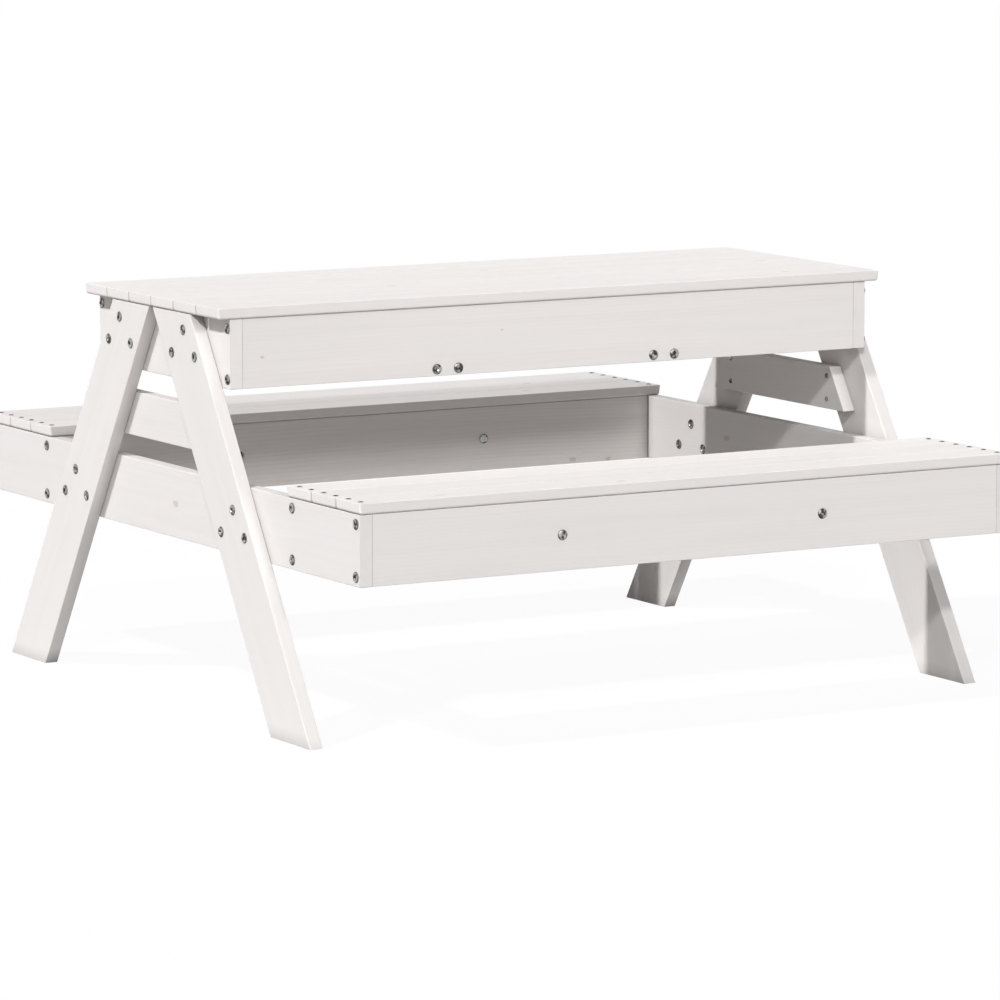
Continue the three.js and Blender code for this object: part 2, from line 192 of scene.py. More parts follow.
# Lamps: the way to each from the table, and how wide it looks, in degrees
LAMPS = {
    "side_lamp": ((-0.66, 0.0, 0.751), 2.5),
    "front_lamp": ((-0.45, -0.69, 0.557), 3.5),
    "low_lamp": ((0.0, -0.946, 0.325), 6.0),
    "front_fill": ((-0.3, -0.95, 0.10), 70.0),
    "side_fill": ((-0.95, -0.3, 0.10), 70.0),
    "back_lamp": ((0.64, 0.764, 0.087), 16.0),
}
LAMPS_WITHOUT_GLINT = ("back_lamp",)
SENSOR_WIDTH = 36  # millimetres
WHITE = (1, 1, 1, 1)
GROUND_COLOUR = (0.42, 0.416, 0.411, 1)
FLOOR_GLOW = 0.95  # share of the floor's look that shadows can't darken
FLOOR_REACH = 30  # metres
FLOOR_DROP = 0.2 * MM  # keeps the floor clear of the soles of the feet


# Settings


class TableTimber(bpy.types.PropertyGroup):
    """How the timber is worked, and where in a log it is cut."""

    edge_radius: bpy.props.FloatProperty(
        name="Edge radius", description="Radius worked on the long edges of a board",
        default=1.0 * MM, min=0.2 * MM, max=4 * MM, unit="LENGTH")
    sawn_radius: bpy.props.FloatProperty(
        name="Sawn end radius", description="Radius left on the edges of a sawn end",
        default=0.2 * MM, min=0.1 * MM, max=4 * MM, unit="LENGTH")
    under_radius: bpy.props.FloatProperty(
        name="Plank underside radius", description="Radius worked on the lower edges of a plank",
        default=3.6 * MM, min=0.2 * MM, max=5 * MM, unit="LENGTH")
    plank_radius: bpy.props.FloatProperty(
        name="Plank top radius", description="Radius worked on the upper edges of a plank",
        default=0.8 * MM, min=0.2 * MM, max=4 * MM, unit="LENGTH")
    edge_steps: bpy.props.IntProperty(
        name="Edge steps", description="Facets across an eased edge", default=4, min=2, max=8)
    seed: bpy.props.IntProperty(
        name="Timber seed", description="Chooses where in a log each board is cut", default=7, min=0)


class TableFinish(bpy.types.PropertyGroup):
    """Colours and strengths of the finishes."""

    paint: bpy.props.FloatVectorProperty(
        name="Paint", description="White finish of the boards", subtype="COLOR", size=3,
        default=(0.866, 0.838, 0.829), min=0, max=1)
    late_wood: bpy.props.FloatVectorProperty(
        name="Late wood", description="Tint of the growth rings under the paint", subtype="COLOR", size=3,
        default=(0.66, 0.585, 0.50), min=0, max=1)
    knot: bpy.props.FloatVectorProperty(
        name="Knot", description="Tint of the knots under the paint", subtype="COLOR", size=3,
        default=(0.40, 0.325, 0.26), min=0, max=1)
    grain_strength: bpy.props.FloatProperty(
        name="Grain strength", description="How far the rings show through the paint",
        default=0.55, min=0, max=1, subtype="FACTOR")
    knot_strength: bpy.props.FloatProperty(
        name="Knot strength", description="How far the knots show through the paint",
        default=0.36, min=0, max=1, subtype="FACTOR")
    # Painted shade: how far ambient occlusion darkens the paint in corners and where boards meet
    painted_shade: bpy.props.FloatProperty(
        name="Shade", description="How far dust greys the corners where boards meet",
        default=0.5, min=0, max=1, subtype="FACTOR")
    panel: bpy.props.FloatVectorProperty(
        name="Tray panel", description="Sheet under the sand", subtype="COLOR", size=3,
        default=(0.74, 0.69, 0.62), min=0, max=1)
    bolt_steel: bpy.props.FloatVectorProperty(
        name="Bolt steel", description="Zinc plating of the bolts", subtype="COLOR", size=3,
        default=(0.46, 0.45, 0.43), min=0, max=1)
    # Painted shade: the seat screws' darker steel stands in for the shade in their countersinks
    shaded_screw_steel: bpy.props.FloatVectorProperty(
        name="Screw steel", description="Darker plating of the seat screws", subtype="COLOR", size=3,
        default=(0.26, 0.25, 0.24), min=0, max=1)


class TableFixings(bpy.types.PropertyGroup):
    """Sizes and places of the bolts and screws."""

    head_radius: bpy.props.FloatProperty(
        name="Bolt head radius", description="Half the width of a bolt's domed head",
        default=6.7 * MM, min=3 * MM, max=12 * MM, unit="LENGTH")
    head_height: bpy.props.FloatProperty(
        name="Bolt head height", description="Height of a bolt's head over the wood",
        default=1.6 * MM, min=1 * MM, max=6 * MM, unit="LENGTH")
    socket_radius: bpy.props.FloatProperty(
        name="Socket radius", description="From the middle of the hexagon socket to its corners",
        default=2.7 * MM, min=1 * MM, max=5 * MM, unit="LENGTH")
    triangle_half: bpy.props.FloatProperty(
        name="Bolt triangle", description="Half the base of the three bolts in a leg, and their height",
        default=32 * MM, min=10 * MM, max=40 * MM, unit="LENGTH")
    upper_height: bpy.props.FloatProperty(
        name="Upper bolts", description="Base row of a leg's upper bolts over the apron's lower edge",
        default=36.7 * MM, min=10 * MM, max=60 * MM, unit="LENGTH")
    edge_distance: bpy.props.FloatProperty(
        name="Edge distance", description="From a board's edge to the bolts near its corners",
        default=12.3 * MM, min=8 * MM, max=30 * MM, unit="LENGTH")
    screw_radius: bpy.props.FloatProperty(
        name="Seat screw radius", description="Half the width of a countersunk screw's head",
        default=3.8 * MM, min=1 * MM, max=6 * MM, unit="LENGTH")


class TableStage(bpy.types.PropertyGroup):
    """Camera and lamps."""

    lens: bpy.props.FloatProperty(
        name="Lens", description="Focal length on a 36 mm square sensor",
        default=212.413, min=20, max=400, unit="CAMERA")
    eye: bpy.props.FloatVectorProperty(
        name="Eye", description="Where the camera stands", size=3,
        default=(-3.893196, -6.803167, 1.311393), subtype="TRANSLATION")
    target: bpy.props.FloatVectorProperty(
        name="Target", description="Point in the middle of the picture", size=3,
        default=(0.021464, 0.0, 0.225817), subtype="TRANSLATION")
    ambient: bpy.props.FloatProperty(
        name="Ambient", description="Even light from all round", default=0.01, min=0, max=2)
    side_lamp: bpy.props.FloatProperty(
        name="Side lamp", description="Share of full light from the left and above",
        default=0.775, min=0, max=2)
    front_lamp: bpy.props.FloatProperty(
        name="Front lamp", description="Share of full light from the front left", default=0.35, min=0, max=2)
    low_lamp: bpy.props.FloatProperty(
        name="Low lamp", description="Share of full light from low in front", default=0.29, min=0, max=2)
    front_fill: bpy.props.FloatProperty(
        name="Front fill", description="Share of full light from a wide soft lamp in front",
        default=0.20, min=0, max=2)
    side_fill: bpy.props.FloatProperty(
        name="Side fill", description="Share of full light from a wide soft lamp at the left",
        default=0.12, min=0, max=2)
    back_lamp: bpy.props.FloatProperty(
        name="Back lamp", description="Share of full light from low behind, at the right",
        default=0.42, min=0, max=2)


SETTINGS = {
    "table_timber": TableTimber,
    "table_finish": TableFinish,
    "table_fixings": TableFixings,
    "table_stage": TableStage,
}


# Node trees


class Tree:
    """A node tree being laid out. Each node goes in with what feeds its visible sockets, in their order."""

    def __init__(self, tree):
        self.tree = tree

    def feed(self, socket, source):
        """Links a socket to another, or sets it to a plain value."""
        if isinstance(source, bpy.types.NodeSocket):
            self.tree.links.new(source, socket)
        elif source is not None:
            socket.default_value = source

    def put(self, kind, *sources, named=None, **choices):
        """Adds a node and returns its first visible output."""
        node = self.tree.nodes.new(kind)
        for choice, value in choices.items():
            setattr(node, choice, value)
        for socket, source in zip([s for s in node.inputs if s.enabled], sources):
            self.feed(socket, source)
        for name, source in (named or {}).items():
            self.feed(node.inputs[name], source)
        outputs = [s for s in node.outputs if s.enabled]
        return outputs[0] if outputs else node

    def attribute(self, name, output="Fac"):
        """What a piece's points carry under that name, as a number or, from the Vector output, a vector."""
        return self.put("ShaderNodeAttribute", attribute_name=name).node.outputs[output]

    def maths(self, operation, *sources):
        return self.put("ShaderNodeMath", *sources, operation=operation)

    def vector(self, operation, *sources):
        node = self.put("ShaderNodeVectorMath", *sources, operation=operation).node
        return node.outputs["Value" if operation == "LENGTH" else "Vector"]

    def split(self, source):
        return list(self.put("ShaderNodeSeparateXYZ", source).node.outputs)

    def join(self, *sources):
        return self.put("ShaderNodeCombineXYZ", *sources)

    def scaled(self, source, *factors):
        return self.vector("MULTIPLY", source, factors)

    def span(self, source, low, high, to_low=0.0, to_high=1.0, smooth=False):
        """Maps a range to another, held at both ends."""
        kind = "SMOOTHSTEP" if smooth else "LINEAR"
        return self.put("ShaderNodeMapRange", source, low, high, to_low, to_high, interpolation_type=kind)

    def noise(self, place, scale, detail=2.0, roughness=0.5):
        """Noise at one scale, or at a scale for each axis."""
        if isinstance(scale, tuple):
            place, scale = self.scaled(place, *scale), 1.0
        return self.put("ShaderNodeTexNoise", place, scale, detail, roughness)

    def blend(self, factor, first, second):
        return self.put("ShaderNodeMix", factor, first, second, data_type="RGBA")

    def bump(self, strength, distance, height):
        return self.put("ShaderNodeBump", strength, distance, named={"Height": height})


def new_group(name, sockets):
    """A Geometry Nodes group with inputs of those names and kinds. Returns its tree and a dict of them."""
    group = bpy.data.node_groups.new(name, "GeometryNodeTree")
    for label, kind in sockets.items():
        group.interface.new_socket(label, in_out="INPUT", socket_type=f"NodeSocket{kind}")
    group.interface.new_socket("Geometry", in_out="OUTPUT", socket_type="NodeSocketGeometry")
    inputs = group.nodes.new("NodeGroupInput")
    return Tree(group), {s.name: s for s in inputs.outputs if s.name}


def close_group(tree, geometry, material):
    """Ends a group with Realize Instances and Set Material."""
    real = tree.put("GeometryNodeRealizeInstances", geometry)
    dressed = tree.put("GeometryNodeSetMaterial", real, named={"Material": material})
    output = tree.tree.nodes.new("NodeGroupOutput")
    tree.feed(output.inputs["Geometry"], dressed)
    return tree.tree


def store(tree, geometry, name, value, kind="FLOAT"):
    return tree.put("GeometryNodeStoreNamedAttribute", geometry, data_type=kind, domain="POINT",
                    named={"Name": name, "Value": value})


def link(piece):
    bpy.context.scene.collection.objects.link(piece)
    return piece


def build_by_nodes(name, start, group, **inputs):
    """Runs a group on a starting mesh and returns an object with the plain mesh that comes out."""
    piece = link(bpy.data.objects.new(name, start))
    modifier = piece.modifiers.new("Build", "NODES")
    modifier.node_group = group
    named = {item.name: item.identifier for item in group.interface.items_tree if item.in_out == "INPUT"}
    for label, value in inputs.items():
        modifier[named[label.replace("_", " ").capitalize()]] = value
    return settle(piece)


def settle(piece):
    """Turns what a piece's modifiers make into its plain mesh."""
    view = bpy.context.evaluated_depsgraph_get()
    mesh = bpy.data.meshes.new_from_object(piece.evaluated_get(view), preserve_all_data_layers=True,
                                           depsgraph=view)
    piece.modifiers.clear()
    piece.data = mesh
    mesh.name = piece.name
    if not mesh.polygons:
        raise RuntimeError(f"{piece.name} came out empty")
    return piece


def even_shading(piece):
    """Smooth shading that breaks at creases and keeps flat faces flat."""
    piece.data.shade_smooth()
    piece.data.set_sharp_from_angle(angle=math.radians(CREASE_ANGLE))
    even = piece.modifiers.new("Even", "WEIGHTED_NORMAL")
    even.keep_sharp = True
    even.weight = FACE_WEIGHT
    return settle(piece)


def fit(piece, body, nodes=()):
    """Puts a finished piece on its body, and hides the CAD nodes that it stands for."""
    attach(piece, body)
    if nodes:
        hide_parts(*nodes)


# Finishes


def shader(name):
    """A new material, its tree and its Principled shader."""
    material = bpy.data.materials.new(name)
    material.use_nodes = True
    tree = Tree(material.node_tree)
    return material, tree, material.node_tree.nodes["Principled BSDF"]


def colour(value, share=1.0):
    return (*(share * part for part in value), 1.0)


def knot_distance(tree, grain):
    """Distance to the nearest knot, in radii of that knot, with a ragged edge."""
    along, across, _ = tree.split(grain)
    cells = tree.put("ShaderNodeTexVoronoi", tree.scaled(grain, *KNOT_SCALE), 1.0,
                     voronoi_dimensions="2D", named={"Randomness": 0.9}).node
    chance, size, _ = tree.split(cells.outputs["Color"])
    radius = tree.maths("MULTIPLY_ADD", size, KNOT_GROWTH, SMALLEST_KNOT)
    share = tree.maths("DIVIDE", cells.outputs["Distance"], radius)
    luck = tree.maths("SUBTRACT", chance, tree.attribute("picked"))
    hidden = tree.span(luck, KNOTLESS_SHARE, KNOTLESS_SHARE - 0.01, 0.0, NO_KNOT)
    share = tree.maths("ADD", share, hidden)
    for label in ("knot_1", "knot_2"):
        knot_along, knot_across, knot_radius = tree.split(tree.attribute(label, "Vector"))
        length = tree.maths("MULTIPLY", tree.maths("SUBTRACT", along, knot_along), KNOT_STRETCH)
        off = tree.join(length, tree.maths("SUBTRACT", across, knot_across), 0.0)
        near = tree.maths("DIVIDE", tree.vector("LENGTH", off), knot_radius)
        near = tree.maths("ADD", near, tree.span(knot_radius, 0.2 * MM, 0.0, 0.0, NO_KNOT))
        share = tree.maths("MINIMUM", share, near)
    ragged = tree.maths("SUBTRACT", tree.noise(grain, KNOT_EDGE_SCALE), 0.5)
    return tree.maths("MULTIPLY_ADD", ragged, 0.8, share)


def late_rings(tree, grain, swelling):
    """How much of the dark late wood there is, in rings about a pith that wanders along the log."""
    _, across, through = tree.split(grain)
    wander = tree.noise(grain, WANDER_SCALE)
    shake = tree.noise(grain, SHAKE_SCALE, 1.0)
    radial = tree.vector("LENGTH", tree.join(0.0, across, through))
    for cause, reach in ((wander, RING_WANDER), (shake, RING_SHAKE), (swelling, RING_SWELL)):
        radial = tree.maths("MULTIPLY_ADD", cause, reach, radial)
    rings = tree.maths("DIVIDE", radial, RING_WIDTH)
    year = tree.maths("FRACT", rings)
    late = tree.maths("MULTIPLY", tree.span(year, 0.35, 0.9, smooth=True), tree.span(year, 1.0, 0.92))
    strong_years = tree.noise(tree.join(tree.maths("MULTIPLY", rings, 0.35), 0.0, 0.0), 1.0, 1.0)
    return tree.maths("MULTIPLY", late, tree.span(strong_years, 0.35, 0.65, 0.25, 0.8))


def board_shade(tree, cloud, painted_shade):
    """Differences from board to board and along a board, and painted shade on narrow faces and in corners.
    """
    shade = tree.maths("MULTIPLY_ADD", tree.attribute("tone"), 0.035, 0.978)
    shade = tree.maths("MULTIPLY_ADD", tree.maths("SUBTRACT", cloud, 0.5), 0.05, shade)
    # Painted shade: narrow faces are darkened against the extra light that falls on them
    shade = tree.maths("MULTIPLY", shade, tree.span(tree.attribute("narrow"), 0.6, 1.0, 1.0, 0.88))
    # Painted shade: ambient occlusion darkens the colour in corners and between boards
    clear = tree.put("ShaderNodeAmbientOcclusion", None, CORNER_SHADE_REACH, samples=8).node.outputs["AO"]
    return tree.maths("MULTIPLY", shade, tree.span(clear, 0.0, 1.0, 1.0 - painted_shade, 1.0))


def painted_pine():
    """White paint over pine: growth rings round a pith, knots, fibres and rubbed edges show faintly."""
    name = "pine_under_paint"
    if name in bpy.data.materials:
        return bpy.data.materials[name]
    finish = bpy.context.scene.table_finish
    material, tree, skin = shader(name)
    grain = tree.attribute("grain", "Vector")
    fibres = tree.noise(grain, FIBRE_SCALE, 3.0, 0.6)
    streaks = tree.noise(grain, STREAK_SCALE, 3.0, 0.55)
    cloud = tree.noise(grain, CLOUD_SCALE, 3.0, 0.6)
    share = knot_distance(tree, grain)
    knot = tree.span(share, 1.05, 0.75, smooth=True)
    rim = tree.span(tree.maths("ABSOLUTE", tree.maths("SUBTRACT", share, 1.0)), 0.30, 0.0, smooth=True)
    late = late_rings(tree, grain, tree.span(share, 5.0, 0.0, smooth=True))

    shown = tree.maths("MULTIPLY", late, tree.span(cloud, 0.35, 0.65, 0.2, 1.0))
    shown = tree.maths("MULTIPLY_ADD", tree.span(fibres, 0.45, 0.75), FIBRE_WEIGHT, shown)
    shown = tree.maths("MULTIPLY_ADD", tree.span(streaks, 0.42, 0.72), STREAK_WEIGHT, shown)
    strength = tree.maths("MULTIPLY", tree.attribute("figure"), finish.grain_strength)
    shown = tree.maths("MULTIPLY", shown, strength)
    coat = tree.blend(shown, colour(finish.paint), colour(finish.late_wood))
    knots = tree.maths("MULTIPLY", tree.maths("MULTIPLY_ADD", rim, 0.55, knot), finish.knot_strength)
    coat = tree.blend(knots, coat, colour(finish.knot))
    patchy = tree.span(cloud, 0.45, 0.72, 0.03, 0.16)
    rubbed = tree.maths("MULTIPLY", tree.span(tree.attribute("worn"), 0.25, 1.0), patchy)
    coat = tree.blend(rubbed, coat, colour(finish.late_wood))
    shade = board_shade(tree, cloud, finish.painted_shade)
    coat = tree.vector("MULTIPLY", coat, tree.join(shade, shade, shade))
    tree.feed(skin.inputs["Base Color"], coat)

    gloss = tree.maths("MULTIPLY_ADD", streaks, 0.16, 0.58)
    tree.feed(skin.inputs["Roughness"], tree.maths("MULTIPLY_ADD", rubbed, 0.3, gloss))
    skin.inputs["Specular IOR Level"].default_value = 0.25
    relief = tree.maths("MULTIPLY_ADD", fibres, 0.5, tree.maths("MULTIPLY", late, 0.5))
    relief = tree.maths("MULTIPLY_ADD", knot, -0.5, relief)
    tree.feed(skin.inputs["Normal"], tree.bump(0.35, PAINT_RELIEF, relief))
    return material


def tray_panel():
    """Sheet of plywood under the sand, with its face veneer's long grain."""
    finish = bpy.context.scene.table_finish
    material, tree, skin = shader("panel_veneer")
    place = tree.put("ShaderNodeTexCoord").node.outputs["Object"]
    _, across, _ = tree.split(place)
    lines = tree.maths("MULTIPLY", across, VENEER_LINES)
    wander = tree.noise(place, VENEER_WANDER_SCALE)
    figure = tree.maths("FRACT", tree.maths("MULTIPLY_ADD", wander, VENEER_WANDER, lines))
    figure = tree.maths("MULTIPLY", tree.span(figure, 0.2, 0.9, smooth=True), tree.span(figure, 1.0, 0.93))
    fibres = tree.noise(place, VENEER_FIBRE_SCALE, 3.0, 0.6)
    shown = tree.maths("MULTIPLY", figure, 0.4)
    shown = tree.maths("MULTIPLY_ADD", tree.span(fibres, 0.4, 0.75), FIBRE_WEIGHT, shown)
    coat = tree.blend(shown, colour(finish.panel), colour(finish.panel, 0.72))
    tree.feed(skin.inputs["Base Color"], coat)
    tree.feed(skin.inputs["Roughness"], tree.maths("MULTIPLY_ADD", fibres, 0.2, 0.6))
    tree.feed(skin.inputs["Normal"], tree.bump(0.3, 0.2 * MM, shown))
    return material


def plated_steel(name, base, roughness, radius):
    """Zinc-plated steel for a head of that radius: bright with duller patches, and painted shade round its
    rim.
    """
    material, tree, skin = shader(name)
    place = tree.put("ShaderNodeTexCoord").node.outputs["Object"]
    patches = tree.span(tree.noise(place, PATCH_SCALE, 1.0), 0.40, 0.60, smooth=True)
    from_middle, _, _ = tree.split(tree.attribute("section", "Vector"))
    # Painted shade: the colour darkens towards the rim of the head
    rim = tree.span(from_middle, RIM_SHADE_START * radius, radius, 0.0, RIM_SHADE_STRENGTH, smooth=True)
    dull_and_shaded = tree.maths("MAXIMUM", patches, rim)
    tree.feed(skin.inputs["Base Color"], tree.blend(dull_and_shaded, colour(base), colour(base, DULL_SHARE)))
    skin.inputs["Metallic"].default_value = 1.0
    tree.feed(skin.inputs["Roughness"], tree.maths("MULTIPLY_ADD", dull_and_shaded, 0.2, roughness - 0.1))
    pits = tree.noise(place, PIT_SCALE)
    tree.feed(skin.inputs["Normal"], tree.bump(0.2, 0.1 * MM, pits))
    return material


# Boards


class Blank:
    """What a board is sawn to: an outline in the plane of its faces, its thickness and its grain's way."""

    def __init__(self, outline, thin, low, high, along):
        self.outline = [Vector(p) for p in outline]
        self.axes = ((thin + 1) % 3, (thin + 2) % 3, thin)
        self.low = low
        self.high = high
        self.along = Vector(along).normalized()


def straight_blank(low, high):
    """A board sawn square to the box between two corners, its grain along the longest side."""
    size = [high[i] - low[i] for i in range(3)]
    thin = size.index(min(size))
    a, b = (thin + 1) % 3, (thin + 2) % 3
    outline = [(low[a], low[b]), (high[a], low[b]), (high[a], high[b]), (low[a], high[b])]
    along = (1, 0) if size[a] > size[b] else (0, 1)
    return Blank(outline, thin, low[thin], high[thin], along)


class Corner:
    """A corner of an outline, rounded from one side's radius to the next side's."""

    def __init__(self, point, before, after, first, last):
        cosine = before.dot(after)
        sine_squared = 1 - cosine ** 2
        self.before, self.after, self.first, self.last = before, after, first, last
        self.along = (before - cosine * after) / sine_squared, (after - cosine * before) / sine_squared
        self.centre = point - first * self.along[0] - last * self.along[1]
        self.turn = math.atan2(before.x * after.y - before.y * after.x, cosine)

    def radius(self, share):
        return self.first + (self.last - self.first) * share

    def way(self, share):
        """Unit vector that points outward at that share of the turn."""
        angle = self.turn * share
        return Vector((self.before.x * math.cos(angle) - self.before.y * math.sin(angle),
                       self.before.x * math.sin(angle) + self.before.y * math.cos(angle)))

    def reach(self, share):
        """From the corner's centre to its rounded edge at that share of the turn."""
        way = self.way(share)
        return (self.first * way.dot(self.before) * self.along[0]
                + self.last * way.dot(self.after) * self.along[1])


def band_between(upper, lower, steps):
    """Faces between two rows of points, each row a fan for every corner, with one point on a flat face."""
    faces = []
    for i in range(len(upper)):
        j = (i + 1) % len(upper)
        for step in range(steps):
            if len(upper[i]) == 1:
                faces.append([upper[i][0], lower[i][step], lower[i][step + 1]])
            elif len(lower[i]) == 1:
                faces.append([upper[i][step + 1], upper[i][step], lower[i][0]])
            else:
                faces.append([upper[i][step + 1], upper[i][step], lower[i][step], lower[i][step + 1]])
        faces.append([upper[j][0], upper[i][-1], lower[i][-1], lower[j][0]])
    return faces


def eased_sweep(blank, radius, sawn, steps):
    """The blank with its long edges and its sawn ends rounded, each by its own radius.

    Returns points, unit normals and faces, with the outline in X and Y, and the way that each side faces."""
    count = len(blank.outline)
    sides = [blank.outline[(i + 1) % count] - blank.outline[i] for i in range(count)]
    facing = [Vector((side.y, -side.x)).normalized() for side in sides]
    radii = [radius if abs(side.normalized().dot(blank.along)) > PARALLEL else sawn for side in sides]
    corners = [Corner(point, facing[i - 1], facing[i], radii[i - 1], radii[i])
               for i, point in enumerate(blank.outline)]

    points, normals, rows = [], [], []
    for level in range(2 * steps + 2):
        lower = level > steps
        tilt = math.pi / 2 * (1 - (level - lower) / steps)
        flat = level in (0, 2 * steps + 1)
        row = []
        for corner in corners:
            fan = []
            for step in range(1 if flat else steps + 1):
                share = step / steps
                way, round_by = corner.way(share), corner.radius(share)
                normal = Vector((way.x * math.cos(tilt), way.y * math.cos(tilt), math.sin(tilt)))
                if flat:
                    normal = Vector((0, 0, 1 if level == 0 else -1))
                spot = corner.centre + (0 if flat else math.cos(tilt)) * corner.reach(share)
                height = blank.low + round_by if lower else blank.high - round_by
                fan.append(len(points))
                points.append(Vector((spot.x, spot.y, height + round_by * normal.z)))
                normals.append(normal)
            row.append(fan)
        rows.append(row)

    faces = [[fan[0] for fan in rows[0]], [fan[0] for fan in reversed(rows[-1])]]
    for upper, lower in zip(rows, rows[1:]):
        faces += band_between(upper, lower, steps)
    return points, normals, faces, facing


def wear(normal, facing):
    """From 0 on a flat face to 1 where an eased edge is furthest from both of its faces."""
    flats = [abs(normal.z)] + [normal.x * way.x + normal.y * way.y for way in facing]
    return min(1.0, max(0.0, (1 - max(flats)) / (1 - math.sqrt(0.5))))


def mark(mesh, name, values, kind="FLOAT"):
    """Stores a number or a vector on each point of a mesh, all in one flat list."""
    field = "value" if kind == "FLOAT" else "vector"
    mesh.attributes.new(name, kind, "POINT").data.foreach_set(field, values)


def cut_board(name, blank, node, body="frame"):
    """Makes one board, with its own place in a log, and fits it in place of its CAD node."""
    timber = bpy.context.scene.table_timber
    points, normals, faces, facing = eased_sweep(
        blank, timber.edge_radius, timber.sawn_radius, timber.edge_steps)
    a, b, _ = blank.axes
    turn = Matrix([[float(row == axis) for axis in blank.axes] for row in range(3)])
    mesh = bpy.data.meshes.new(name)
    mesh.from_pydata([turn @ p for p in points], [], faces)
    mesh.shade_smooth()
    mesh.normals_split_custom_set_from_vertices([turn @ n for n in normals])

    chance = random.Random(f"{timber.seed} {name}")
    log = Vector((chance.uniform(0, LOG_LENGTH), chance.choice((-1, 1)) * chance.uniform(*PITH_ASIDE),
                  chance.uniform(*PITH_DEPTH)))
    middle = sum(blank.outline, Vector((0, 0))) / len(blank.outline)
    thick = (blank.low + blank.high) / 2
    side = Vector((-blank.along.y, blank.along.x))

    def in_log(spot):
        """Where a point of the outline's plane is along the log, and aside from its pith."""
        off = spot - middle
        return log.x + off.dot(blank.along), log.y + off.dot(side)

    grain = [part for p in points for part in (*in_log(p.xy), log.z + p.z - thick)]
    mark(mesh, "grain", grain, "FLOAT_VECTOR")
    knots = [(0, 0, 0), (0, 0, 0)]
    for i, (*spot, size) in enumerate(KNOTS.get(name, ())):
        knots[i] = (*in_log(MM * Vector((spot[a], spot[b]))), MM * size)
    for i, knot in enumerate(knots):
        mark(mesh, f"knot_{i + 1}", list(knot) * len(points), "FLOAT_VECTOR")
    mark(mesh, "worn", [wear(normal, facing) for normal in normals])
    # How far each point faces a narrow side, which the paint darkens as painted shade
    mark(mesh, "narrow", [abs(n.x * side.x + n.y * side.y) for n in normals])
    mark(mesh, "tone", [chance.random()] * len(points))
    mark(mesh, "figure", [FIGURE.get(name, FIGURE["other"])] * len(points))
    mark(mesh, "picked", [float(name in KNOTS)] * len(points))

    mesh.materials.append(painted_pine())
    fit(link(bpy.data.objects.new(name, mesh)), body, [node])


def cut_straight(name, node, body="frame"):
    """Makes a straight board to the size of its CAD node."""
    cut_board(name, straight_blank(*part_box(node)), node, body)


def end_plane(end):
    """The two faces, along X, of the layer that holds an end's apron, brace and end board."""
    low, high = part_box(f"brace_{end}")
    return low.x, high.x


def lean():
    """How far the legs lean for each metre of height, and their width measured level."""
    apron_low, apron_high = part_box("apron_front")
    width = apron_high.z - apron_low.z
    low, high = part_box("leg_left_back")
    slope = LEAN_GUESS
    for _ in range(LEAN_TRIALS):
        slope = (high.y - low.y - width * math.hypot(1, slope)) / (high.z - low.z)
    return slope, width * math.hypot(1, slope)


# Planks


